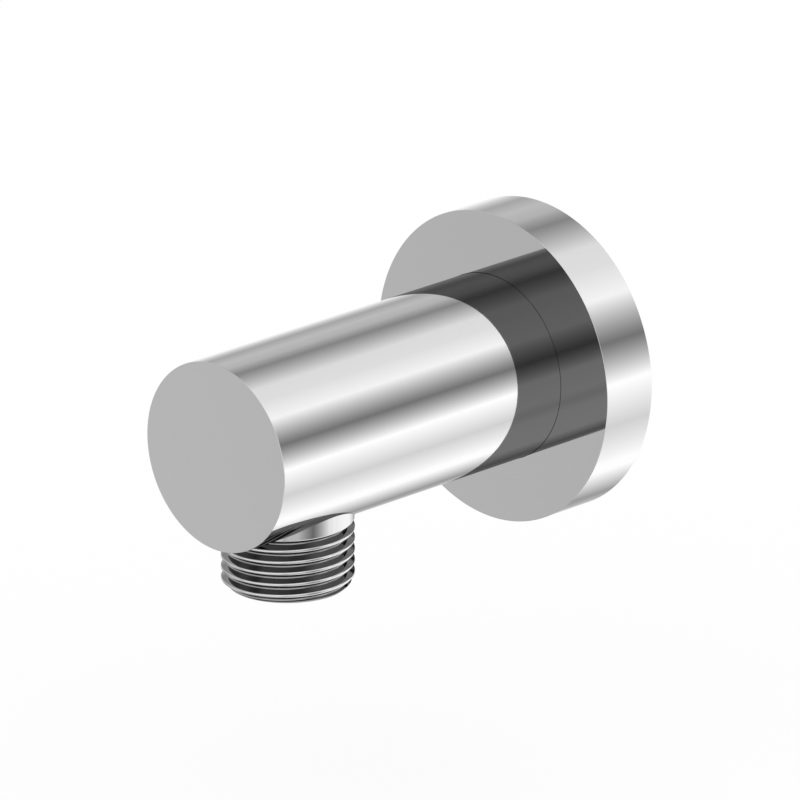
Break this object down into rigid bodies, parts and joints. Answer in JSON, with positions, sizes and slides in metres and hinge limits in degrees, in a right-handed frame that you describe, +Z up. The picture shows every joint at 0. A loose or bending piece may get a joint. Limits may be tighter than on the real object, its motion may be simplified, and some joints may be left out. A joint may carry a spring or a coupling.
{
  "type": "wall outlet elbow",
  "caption": "Round chrome wall outlet elbow for a shower hose, with a cover flange, a blind front and a threaded outlet pointing down.",
  "frame": {"origin": "centre of the cover flange's wall face, on the axis of the barrel", "axes": "+Y along the barrel's axis into the wall, +Z up, the hose outlet points along -Z"},
  "size_m": [0.05, 0.07, 0.05],
  "materials": {
    "body_chrome": "polished",
    "nipple_chrome": "polished",
    "flange_chrome": "polished",
    "seal_rubber": "satin",
    "gasket_rubber": "matte"
  },
  "bodies": {
    "root": {"elbow_body": "body_chrome", "outlet_nipple": "nipple_chrome", "wall_flange": "flange_chrome", "flange_o_ring": "seal_rubber", "nipple_o_ring": "seal_rubber", "wall_gasket": "gasket_rubber"}
  },
  "joints": []
}
